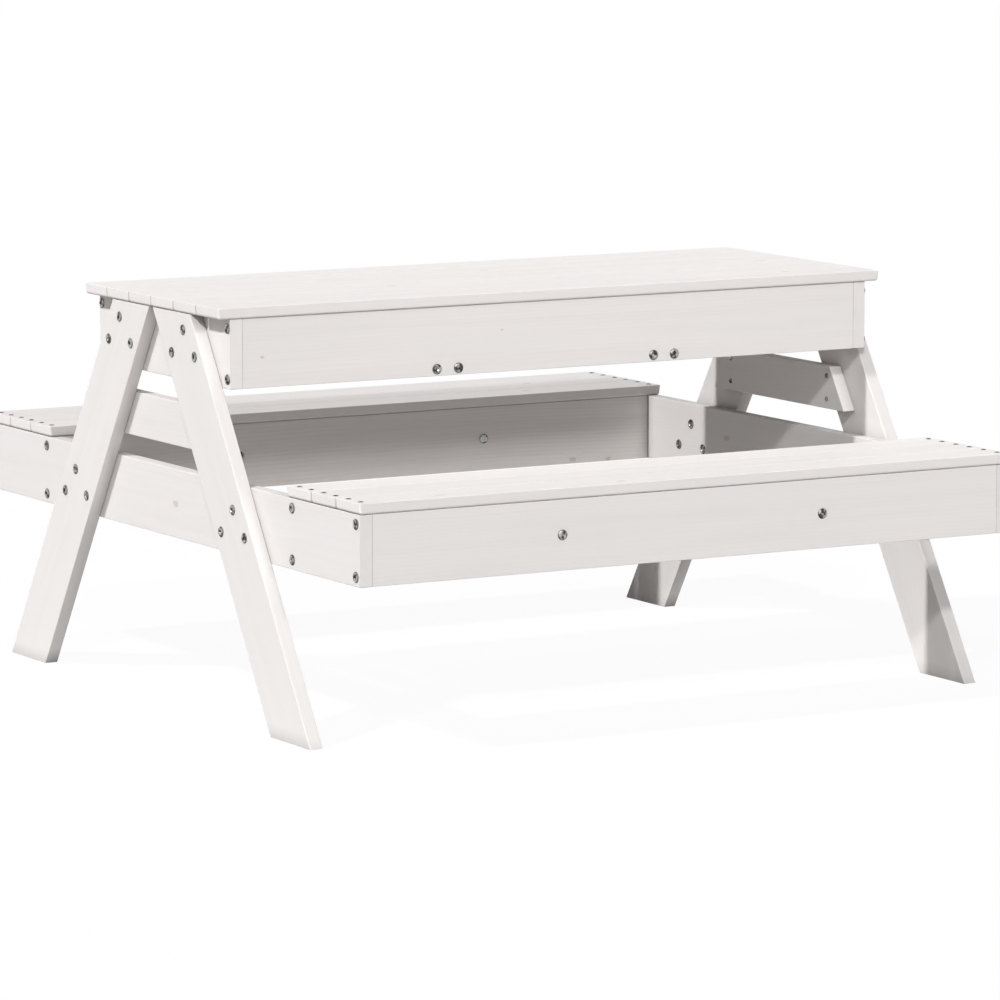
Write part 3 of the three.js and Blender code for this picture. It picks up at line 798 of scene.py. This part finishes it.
def plank_group():
    """Node group that lays an eased plank on each point, drills the lot and marks grain, wear and tone."""
    tree, given = new_group("Planks", {
        "Geometry": "Geometry", "Length": "Float", "Width": "Float", "Thickness": "Float",
        "Upper radius": "Float", "Lower radius": "Float", "Edge steps": "Int", "Figure": "Float",
        "Drills": "Object", "Seed": "Int", "Material": "Material"})
    half = tree.scaled(tree.join(given["Length"], given["Width"], given["Thickness"]), 0.5, 0.5, 0.5)

    def rounding(place):
        """The edge radius at a point of the plank, which differs above and below, and the core within."""
        height = tree.split(place)[2]
        radius = tree.put("ShaderNodeMix", tree.maths("GREATER_THAN", height, 0.0), given["Lower radius"],
                          given["Upper radius"], data_type="FLOAT")
        radius = tree.join(radius, radius, radius)
        return radius, tree.vector("SUBTRACT", half, radius)

    # A cube whose points crowd into its edges, then pushed out as a ball round its core
    steps = given["Edge steps"]
    count = tree.maths("MULTIPLY_ADD", steps, 2.0, 2.0)
    cube = tree.put("GeometryNodeMeshCube", (2, 2, 2), count, count, count)
    place = tree.put("GeometryNodeInputPosition")
    sign = tree.vector("SIGN", place)
    twice = tree.maths("MULTIPLY", steps, 2.0)
    gain = tree.maths("DIVIDE", tree.maths("ADD", twice, 1.0), twice)
    shift = tree.maths("DIVIDE", -1.0, twice)
    share = tree.vector("MULTIPLY_ADD", tree.vector("ABSOLUTE", place), tree.join(gain, gain, gain),
                        tree.join(shift, shift, shift))
    share = tree.vector("TANGENT", tree.scaled(share, *[math.pi / 4] * 3))
    outward = tree.vector("NORMALIZE", tree.vector("MULTIPLY", sign, share))
    radius, core = rounding(place)
    place = tree.vector("MULTIPLY_ADD", outward, radius, tree.vector("MULTIPLY", sign, core))
    plank = tree.put("GeometryNodeSetPosition", cube, named={"Position": place})
    laid = tree.put("GeometryNodeInstanceOnPoints", given["Geometry"], named={"Instance": plank})
    laid = tree.put("GeometryNodeRealizeInstances", laid)
    drills = tree.put("GeometryNodeObjectInfo", given["Drills"]).node.outputs["Geometry"]
    bored = tree.put("GeometryNodeMeshBoolean", laid, drills, operation="DIFFERENCE", solver="EXACT")

    # Each point belongs to the plank whose middle is nearest
    place = tree.put("GeometryNodeInputPosition")
    number = tree.put("GeometryNodeSampleNearest", given["Geometry"], place)
    middle = tree.put("GeometryNodeSampleIndex", given["Geometry"], tree.put("GeometryNodeInputPosition"),
                      number, data_type="FLOAT_VECTOR")
    local = tree.vector("SUBTRACT", place, middle)
    log = tree.put("FunctionNodeRandomValue", (0, -PLANK_PITH_ASIDE, PITH_DEPTH[0]),
                   (LOG_LENGTH, PLANK_PITH_ASIDE, PITH_DEPTH[1]), number, given["Seed"],
                   data_type="FLOAT_VECTOR")
    tone = tree.put("FunctionNodeRandomValue", 0.0, 1.0, number,
                    tree.maths("ADD", given["Seed"], TONE_SEED_SHIFT), data_type="FLOAT")
    radius, core = rounding(local)
    held = tree.vector("MAXIMUM", tree.vector("MINIMUM", local, core), tree.scaled(core, -1, -1, -1))
    facing = tree.vector("ABSOLUTE", tree.vector("DIVIDE", tree.vector("SUBTRACT", local, held), radius))
    x, y, z = tree.split(facing)
    flat = tree.maths("MAXIMUM", x, tree.maths("MAXIMUM", y, z))
    bored = store(tree, bored, "grain", tree.vector("ADD", local, log), "FLOAT_VECTOR")
    bored = store(tree, bored, "worn", tree.span(flat, 1.0, math.sqrt(0.5)))
    bored = store(tree, bored, "tone", tone)
    bored = store(tree, bored, "figure", given["Figure"])
    return close_group(tree, bored, given["Material"])


def lay_planks(name, nodes, body, drills, seed):
    """Makes the planks that stand for these CAD nodes, all of one size, as one piece."""
    timber = bpy.context.scene.table_timber
    boxes = [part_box(node) for node in nodes]
    size = boxes[0][1] - boxes[0][0]
    start = bpy.data.meshes.new(name)
    start.from_pydata([(low + high) / 2 for low, high in boxes], [], [])
    piece = build_by_nodes(name, start, plank_group(), length=size.x, width=size.y, thickness=size.z,
                           upper_radius=timber.plank_radius, lower_radius=timber.under_radius,
                           edge_steps=timber.edge_steps, figure=FIGURE["other"], drills=drills, seed=seed,
                           material=painted_pine())
    bpy.data.objects.remove(drills)
    even_shading(piece)
    fit(piece, body, nodes)


# Fixings


def turning_group():
    """Node group that turns a profile on a lathe and sets a copy on each point, facing outward.

    A profile point holds its radius, how far it is pulled in to the recess's flats, and its height."""
    tree, given = new_group("Turned fixings", {
        "Geometry": "Geometry", "Profile": "Object", "Sides": "Int", "Recess sides": "Int", "Seed": "Int",
        "Material": "Material"})
    profile = tree.put("GeometryNodeObjectInfo", given["Profile"]).node.outputs["Geometry"]
    count = tree.put("GeometryNodeAttributeDomainSize", profile)
    grid = tree.put("GeometryNodeMeshGrid", 1.0, 1.0, tree.maths("ADD", given["Sides"], 1.0), count)
    index = tree.put("GeometryNodeInputIndex")
    column = tree.maths("FLOOR", tree.maths("DIVIDE", index, count))
    row = tree.maths("FLOORED_MODULO", index, count)
    drawn = tree.put("GeometryNodeSampleIndex", profile, tree.put("GeometryNodeInputPosition"), row,
                     data_type="FLOAT_VECTOR")
    radius, pull, height = tree.split(drawn)
    angle = tree.maths("MULTIPLY", tree.maths("DIVIDE", column, given["Sides"]), math.tau)
    half = tree.maths("DIVIDE", math.pi, given["Recess sides"])
    within = tree.maths("FLOORED_MODULO", angle, tree.maths("MULTIPLY", half, 2.0))
    within = tree.maths("SUBTRACT", within, half)
    flat = tree.maths("DIVIDE", tree.maths("COSINE", half), tree.maths("COSINE", within))
    radius = tree.maths("MULTIPLY", radius, tree.put("ShaderNodeMix", pull, 1.0, flat, data_type="FLOAT"))
    place = tree.join(tree.maths("MULTIPLY", radius, tree.maths("COSINE", angle)),
                      tree.maths("MULTIPLY", radius, tree.maths("SINE", angle)), height)
    marked = store(tree, grid, "section", drawn, "FLOAT_VECTOR")
    turned = tree.put("GeometryNodeSetPosition", marked, named={"Position": place})
    turned = tree.put("GeometryNodeMergeByDistance", turned, named={"Distance": 1e-6})
    turned = tree.put("GeometryNodeFlipFaces", turned)

    outward = tree.put("GeometryNodeInputNamedAttribute", "outward", data_type="FLOAT_VECTOR")
    upright = tree.put("FunctionNodeAlignRotationToVector", named={"Vector": outward}, axis="Z")
    spin = tree.put("FunctionNodeRandomValue", 0.0, math.tau, named={"Seed": given["Seed"]},
                    data_type="FLOAT")
    spin = tree.put("FunctionNodeAxisAngleToRotation", (0, 0, 1), spin)
    turn = tree.put("FunctionNodeRotateRotation", upright, spin, rotation_space="LOCAL")
    placed = tree.put("GeometryNodeInstanceOnPoints", given["Geometry"],
                      named={"Instance": turned, "Rotation": turn})
    return close_group(tree, placed, given["Material"])


def turn_fixings(name, places, profile, sides, seed=1, material=None):
    """Turns one fixing from its profile and sets it at each place, which is a point and the way to face."""
    start = bpy.data.meshes.new(name)
    start.from_pydata([point for point, _ in places], [], [])
    mark(start, "outward", [part for _, way in places for part in way], "FLOAT_VECTOR")
    pattern = bpy.data.meshes.new(f"{name}_profile")
    pattern.from_pydata(profile, [], [])
    drawing = link(bpy.data.objects.new(pattern.name, pattern))
    piece = build_by_nodes(name, start, turning_group(), profile=drawing, sides=sides,
                           recess_sides=HEX_SIDES, seed=seed, material=material)
    bpy.data.objects.remove(drawing)
    return piece


def domed_profile(radius, height, socket):
    """Half section of a low domed head with a hexagon socket, from the socket's floor round to the shank."""
    side = DOME_SIDE_SHARE * height
    crown = max(CROWN_SHARE * radius, socket + CROWN_RIM)
    shank = SHANK_SHARE * radius
    chamfer, chamfer_depth = SOCKET_CHAMFER
    dome = []
    for step in range(DOME_STEPS + 1):
        angle = math.pi / 2 * step / DOME_STEPS
        dome.append((crown + (radius - crown) * math.sin(angle), 0,
                     side + (height - side) * math.cos(angle)))
    return [
        (0, 0, SOCKET_FLOOR), (socket * SOCKET_TAPER, 1, SOCKET_FLOOR), (socket, 1, height - chamfer_depth),
        (socket + chamfer, 0.6, height), *dome, (radius, 0, HEAD_CHAMFER), (radius - HEAD_CHAMFER, 0, 0),
        (shank, 0, 0), (shank, 0, -SHANK_DEPTH), (0, 0, -SHANK_DEPTH)]


def raised_profile(radius, height, socket):
    """Half section of a countersunk screw's head, slightly domed, with its rim flush with the wood."""
    recess = -SEAT_SCREW_RECESS
    dome = [(share * radius, 0, height * (1 - share ** 2)) for share in SEAT_SCREW_DOME_SHARES]
    return [
        (0, 0, recess), (socket * 0.9, 1, recess), (socket, 1, 0.7 * height),
        (socket + 0.2 * MM, 0.5, 0.82 * height), *dome, (radius, 0, -SEAT_SCREW_RIM),
        (SEAT_SCREW_SHANK, 0, -SEAT_SCREW_CONE), (SEAT_SCREW_SHANK, 0, -SEAT_SCREW_DEPTH),
        (0, 0, -SEAT_SCREW_DEPTH)]


def drill_profile(radius):
    """What a countersink takes out of the wood, a little wider than the screw."""
    wide = radius + DRILL_ROOM
    return [(0, 0, DRILL_TOP), (wide, 0, DRILL_TOP), (wide, 0, -DRILL_RIM), (DRILL_SHANK, 0, -DRILL_CONE),
            (DRILL_SHANK, 0, -DRILL_DEPTH), (0, 0, -DRILL_DEPTH)]


def lid_nodes():
    return [f"lid_plank_{i + 1}" for i in range(TOP_PLANKS)]


def seat_nodes():
    return [f"seat_{side}_plank_{i + 1}" for side, _ in SIDES for i in range(SEAT_PLANKS)]


def rail_bolt_nodes(side):
    return [f"rail_bolt_{side}_{i + 1}" for i in range(RAIL_BOLTS)]


def leg_bolt_nodes(end, side):
    return [f"leg_bolt_{end}_{side}_{i + 1}" for i in range(LEG_BOLTS)]


def middle_of(node):
    low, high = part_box(node)
    return (low + high) / 2


def outer_face(node, axis, way):
    """How far a node reaches from the middle of the table along an axis, with the sign of that way."""
    return way * max(abs(corner[axis]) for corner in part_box(node))


def seat_screw_places():
    """Two screws at each end of every seat plank, over the end boards."""
    places = []
    for node in seat_nodes():
        low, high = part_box(node)
        for end, _ in ENDS:
            x = sum(end_plane(end)) / 2
            for y in (low.y + SEAT_SCREW_EDGE, high.y - SEAT_SCREW_EDGE):
                places.append(((x, y, high.z), (0, 0, 1)))
    return places


def leg_bolt_places():
    """Three bolts through each leg into the apron and three into the end board, nuts inside."""
    fixings = bpy.context.scene.table_fixings
    half = fixings.triangle_half
    slope, level_width = lean()
    places = []
    for end, way in ENDS:
        inside = way * min(abs(x) for x in end_plane(end))
        outside = outer_face(f"leg_{end}_back", 0, way)
        leg_low, leg_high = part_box(f"leg_{end}_back")
        lower = [middle_of(node) for node in leg_bolt_nodes(end, "back")]
        spots = [(p.y, p.z) for p in lower]
        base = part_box(f"apron_{end}")[0].z + fixings.upper_height
        middle = leg_low.y + (leg_high.z - base) * slope + level_width / 2
        spots += [(middle, base + half), (middle - half, base), (middle + half, base)]
        for _, side in SIDES:
            for y, z in spots:
                places.append(((outside, side * y, z), (way, 0, 0)))
                places.append(((inside, side * y, z), (-way, 0, 0)))
    return places


def rail_bolt_places():
    """A pair of bolts through the long aprons into each end of each tray rail."""
    places = []
    for side, way in SIDES:
        face = outer_face(f"apron_{side}", 1, way)
        for node in rail_bolt_nodes(side):
            middle = middle_of(node)
            places.append(((middle.x, face, middle.z), (0, way, 0)))
    return places


def corner_bolt_places():
    """Bolts into the ends of the long boards: two at each corner of the tray and of the benches."""
    fixings = bpy.context.scene.table_fixings
    places = []
    for end, way in ENDS:
        outside = way * max(abs(x) for x in end_plane(end))
        for side, over in SIDES:
            shifts = {f"apron_{side}": over * APRON_BOLT_SHIFT}
            for node in (f"apron_{side}", f"bench_{side}_inner", f"bench_{side}_outer"):
                low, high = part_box(node)
                y = (low.y + high.y) / 2 + shifts.get(node, 0)
                for z in (low.z + fixings.edge_distance, high.z - fixings.edge_distance):
                    places.append(((outside, y, z), (way, 0, 0)))
    return places


def cross_bolt_places():
    """A bolt through each long bench board into the end of each cross board."""
    places = []
    for side, over in SIDES:
        for end, _ in ENDS:
            middle = middle_of(f"bench_{side}_cross_{end}")
            for board, way in (("inner", -over), ("outer", over)):
                face = way * max(way * corner.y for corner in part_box(f"bench_{side}_{board}"))
                places.append(((middle.x, face, middle.z), (0, way, 0)))
    return places


def brace_screw_places():
    """Two screws through each end of a brace into its leg, from inside."""
    places = []
    for end, way in ENDS:
        low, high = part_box(f"brace_{end}")
        inside = way * min(abs(low.x), abs(high.x))
        for _, side in SIDES:
            for z in (low.z + BRACE_SCREW_EDGE, high.z - BRACE_SCREW_EDGE):
                places.append(((inside, side * BRACE_SCREW_REACH, z), (-way, 0, 0)))
    return places


def batten_screw_places():
    """One screw up through each lid batten into every plank, a little off the batten's middle by turns."""
    places = []
    for end, _ in ENDS:
        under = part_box(f"lid_batten_{end}")[0].z
        x = middle_of(f"lid_batten_{end}").x
        shift = BATTEN_SCREW_SHIFT
        for node in lid_nodes():
            places.append(((x + shift, middle_of(node).y, under), (0, 0, -1)))
            shift = -shift
    return places


# Stage


def set_camera(context, stage):
    camera = bpy.data.cameras.new("camera")
    camera.lens = stage.lens
    camera.sensor_width = SENSOR_WIDTH
    eye, target = Vector(stage.eye), Vector(stage.target)
    holder = link(bpy.data.objects.new("camera", camera))
    holder.location = eye
    holder.rotation_euler = (target - eye).to_track_quat("-Z", "Y").to_euler()
    context.scene.camera = holder


def set_lamp(name, share):
    """A lamp far off. A share of 1 lights a surface that faces it as bright as the surface's own colour."""
    way, softness = LAMPS[name]
    lamp = bpy.data.lights.new(name, "SUN")
    lamp.energy = math.pi * share
    lamp.angle = math.radians(softness)
    holder = link(bpy.data.objects.new(name, lamp))
    holder.rotation_euler = Vector(way).to_track_quat("Z", "Y").to_euler()
    holder.visible_glossy = name not in LAMPS_WITHOUT_GLINT


def direct_looks(tree):
    """1 for what the camera sees directly, in a mirror or through glass, and 0 for other light."""
    path = tree.put("ShaderNodeLightPath").node.outputs
    looks = tree.maths("MAXIMUM", path["Is Camera Ray"], path["Is Glossy Ray"])
    return tree.maths("MAXIMUM", looks, path["Is Transmission Ray"])


def set_world(context, stage):
    world = bpy.data.worlds.new("white_room")
    world.use_nodes = True
    world.node_tree.nodes.clear()
    tree = Tree(world.node_tree)
    even = tree.put("ShaderNodeBackground", WHITE, stage.ambient)
    white = tree.put("ShaderNodeBackground", WHITE, 1.0)
    tree.put("ShaderNodeOutputWorld", tree.put("ShaderNodeMixShader", direct_looks(tree), even, white))
    context.scene.world = world


def lay_floor():
    """A floor that looks white, takes shadows, and throws back no more light than a grey one."""
    material = bpy.data.materials.new("white_floor")
    material.use_nodes = True
    material.node_tree.nodes.clear()
    tree = Tree(material.node_tree)
    looks = direct_looks(tree)
    ground = tree.put("ShaderNodeBsdfDiffuse", tree.blend(looks, GROUND_COLOUR, WHITE))
    glow = tree.put("ShaderNodeEmission", WHITE, 1.0)
    factor = tree.maths("MULTIPLY", looks, FLOOR_GLOW)
    tree.put("ShaderNodeOutputMaterial", tree.put("ShaderNodeMixShader", factor, ground, glow))
    mesh = bpy.data.meshes.new("floor")
    corners = ((-1, -1), (1, -1), (1, 1), (-1, 1))
    mesh.from_pydata([(x * FLOOR_REACH, y * FLOOR_REACH, -FLOOR_DROP) for x, y in corners], [],
                     [(0, 1, 2, 3)])
    mesh.materials.append(material)
    floor = link(bpy.data.objects.new("floor", mesh))


# Operators


class TABLE_OT_stage(bpy.types.Operator):
    """Sets the camera, the lamps, the white surroundings and the floor"""

    bl_idname = "table.stage"
    bl_label = "Stage"

    def execute(self, context):
        stage = context.scene.table_stage
        context.scene.view_settings.view_transform = "Standard"
        set_camera(context, stage)
        for name in LAMPS:
            set_lamp(name, getattr(stage, name))
        set_world(context, stage)
        lay_floor()
        return {"FINISHED"}


class TABLE_OT_tabletop(bpy.types.Operator):
    """Lays the six planks of the lift-off top"""

    bl_idname = "table.tabletop"
    bl_label = "Tabletop planks"

    def execute(self, context):
        # The top has no holes, so its one drill stands clear below the table.
        away = [((0, 0, -1), (0, 0, 1))]
        drills = turn_fixings("top_drills", away, drill_profile(1 * MM), sides=8)
        lay_planks("tabletop_planks", lid_nodes(), "lid", drills, context.scene.table_timber.seed)
        return {"FINISHED"}


class TABLE_OT_battens(bpy.types.Operator):
    """Cuts the two battens that hold the tabletop together"""

    bl_idname = "table.battens"
    bl_label = "Lid battens"

    def execute(self, context):
        for end, _ in ENDS:
            cut_straight(f"batten_{end}", f"lid_batten_{end}", "lid")
        return {"FINISHED"}


class TABLE_OT_tray(bpy.types.Operator):
    """Cuts the aprons and rails of the sand tray, and finishes its floor"""

    bl_idname = "table.tray"
    bl_label = "Sand tray"

    def execute(self, context):
        for side, _ in SIDES:
            cut_straight(f"long_apron_{side}", f"apron_{side}")
        for end, _ in ENDS:
            node = f"apron_{end}"
            low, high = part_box(node)
            low.x, high.x = end_plane(end)
            cut_board(f"end_apron_{end}", straight_blank(low, high), node)
            cut_straight(f"rail_{end}", f"tray_rail_{end}")
        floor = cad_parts["tray_floor"]
        floor.data.materials.clear()
        floor.data.materials.append(tray_panel())
        return {"FINISHED"}


class TABLE_OT_legs(bpy.types.Operator):
    """Cuts the four leaning legs"""

    bl_idname = "table.legs"
    bl_label = "Legs"

    def execute(self, context):
        slope, level_width = lean()
        for end, _ in ENDS:
            for side, way in SIDES:
                node = f"leg_{end}_{side}"
                low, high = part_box(node)
                top = min(abs(low.y), abs(high.y))
                foot = top + slope * (high.z - low.z)
                outline = [(way * foot, low.z), (way * (foot + level_width), low.z),
                           (way * (top + level_width), high.z), (way * top, high.z)]
                if way < 0:
                    outline.reverse()
                blank = Blank(outline, 0, low.x, high.x, (-way * slope, 1))
                cut_board(f"slanted_leg_{end}_{side}", blank, node)
        return {"FINISHED"}


class TABLE_OT_end_boards(bpy.types.Operator):
    """Cuts the brace and the end board of each end"""

    bl_idname = "table.end_boards"
    bl_label = "Braces and end boards"

    def execute(self, context):
        slope, _ = lean()
        for end, _ in ENDS:
            node = f"brace_{end}"
            low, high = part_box(node)
            draw = slope * (high.z - low.z)
            outline = [(low.y, low.z), (high.y, low.z), (high.y - draw, high.z), (low.y + draw, high.z)]
            cut_board(f"leg_brace_{end}", Blank(outline, 0, low.x, high.x, (1, 0)), node)
            cut_straight(f"end_beam_{end}", f"end_board_{end}")
        return {"FINISHED"}


class TABLE_OT_benches(bpy.types.Operator):
    """Cuts the long boards under the seats and the boards across them"""

    bl_idname = "table.benches"
    bl_label = "Bench boards"

    def execute(self, context):
        for side, way in SIDES:
            reach = []
            for place in BENCH_BOARDS:
                node = f"bench_{side}_{place}"
                cut_straight(f"{place}_board_{side}", node)
                reach += [abs(corner.y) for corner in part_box(node)]
            _, inner, outer, _ = sorted(reach)
            near, far = way * (inner + CROSS_BOARD_GAP), way * (outer - CROSS_BOARD_GAP)
            for end, _ in ENDS:
                node = f"bench_{side}_cross_{end}"
                low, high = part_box(node)
                low.y, high.y = min(near, far), max(near, far)
                cut_board(f"cross_board_{side}_{end}", straight_blank(low, high), node)
        return {"FINISHED"}


class TABLE_OT_seats(bpy.types.Operator):
    """Lays and drills the three planks of each bench"""

    bl_idname = "table.seats"
    bl_label = "Seat planks"

    def execute(self, context):
        profile = drill_profile(context.scene.table_fixings.screw_radius)
        drills = turn_fixings("seat_drills", seat_screw_places(), profile, SCREW_SIDES)
        seed = context.scene.table_timber.seed + SEAT_SEED_SHIFT
        lay_planks("seat_planks", seat_nodes(), "frame", drills, seed)
        return {"FINISHED"}


class TABLE_OT_bolts(bpy.types.Operator):
    """Turns the domed bolt heads and sets them in every joint"""

    bl_idname = "table.bolts"
    bl_label = "Bolts"

    def execute(self, context):
        fixings = context.scene.table_fixings
        base = context.scene.table_finish.bolt_steel
        steel = plated_steel("bolt_zinc", base, roughness=0.36, radius=fixings.head_radius)
        profile = domed_profile(fixings.head_radius, fixings.head_height, fixings.socket_radius)
        places = leg_bolt_places() + rail_bolt_places() + corner_bolt_places() + cross_bolt_places()
        piece = even_shading(turn_fixings("bolts", places, profile, HEAD_SIDES, BOLT_SEED, steel))
        nodes = [node for end, _ in ENDS for side, _ in SIDES for node in leg_bolt_nodes(end, side)]
        nodes += [node for side, _ in SIDES for node in rail_bolt_nodes(side)]
        fit(piece, "frame", nodes)
        return {"FINISHED"}


class TABLE_OT_screws(bpy.types.Operator):
    """Turns the wood screws of the seats, the braces and the lid battens"""

    bl_idname = "table.screws"
    bl_label = "Wood screws"

    def execute(self, context):
        radius = context.scene.table_fixings.screw_radius
        small = SMALL_SCREW_RADIUS
        finish = context.scene.table_finish
        # The seat screws take the darker steel, painted shade for their countersinks
        dark = plated_steel("screw_zinc", finish.shaded_screw_steel, roughness=0.42, radius=radius)
        bright = plated_steel("small_screw_zinc", finish.bolt_steel, roughness=0.40, radius=small)
        raised = raised_profile(radius, SEAT_SCREW_HEIGHT, SEAT_SCREW_SOCKET)
        domed = domed_profile(small, SMALL_SCREW_HEIGHT, SMALL_SCREW_SOCKET)
        for name, places, profile, body, steel in (
                ("seat_screws", seat_screw_places(), raised, "frame", dark),
                ("brace_screws", brace_screw_places(), domed, "frame", bright),
                ("batten_screws", batten_screw_places(), domed, "lid", bright)):
            piece = even_shading(turn_fixings(name, places, profile, SCREW_SIDES, SCREW_SEED, steel))
            fit(piece, body)
        return {"FINISHED"}


STEPS = (
    TABLE_OT_stage,
    TABLE_OT_tabletop,
    TABLE_OT_battens,
    TABLE_OT_tray,
    TABLE_OT_legs,
    TABLE_OT_end_boards,
    TABLE_OT_benches,
    TABLE_OT_seats,
    TABLE_OT_bolts,
    TABLE_OT_screws,
)


class TABLE_PT_panel(bpy.types.Panel):
    """Lists the pieces of the table and their settings"""

    bl_label = "Picnic table"
    bl_idname = "TABLE_PT_panel"
    bl_space_type = "VIEW_3D"
    bl_region_type = "UI"
    bl_category = "Table"

    def draw(self, context):
        for name, group in SETTINGS.items():
            box = self.layout.box()
            box.label(text=group.__doc__.rstrip("."))
            for setting in group.__annotations__:
                box.prop(getattr(context.scene, name), setting)
        for step in STEPS:
            self.layout.operator(step.bl_idname)


CLASSES = (*SETTINGS.values(), *STEPS, TABLE_PT_panel)


def register():
    for entry in CLASSES:
        bpy.utils.register_class(entry)
    for name, group in SETTINGS.items():
        setattr(bpy.types.Scene, name, bpy.props.PointerProperty(type=group))


def unregister():
    for name in SETTINGS:
        delattr(bpy.types.Scene, name)
    for entry in reversed(CLASSES):
        bpy.utils.unregister_class(entry)


def main():
    register()
    for step in STEPS:
        group, name = step.bl_idname.split(".")
        getattr(getattr(bpy.ops, group), name)()


if __name__ == "__main__":
    main()
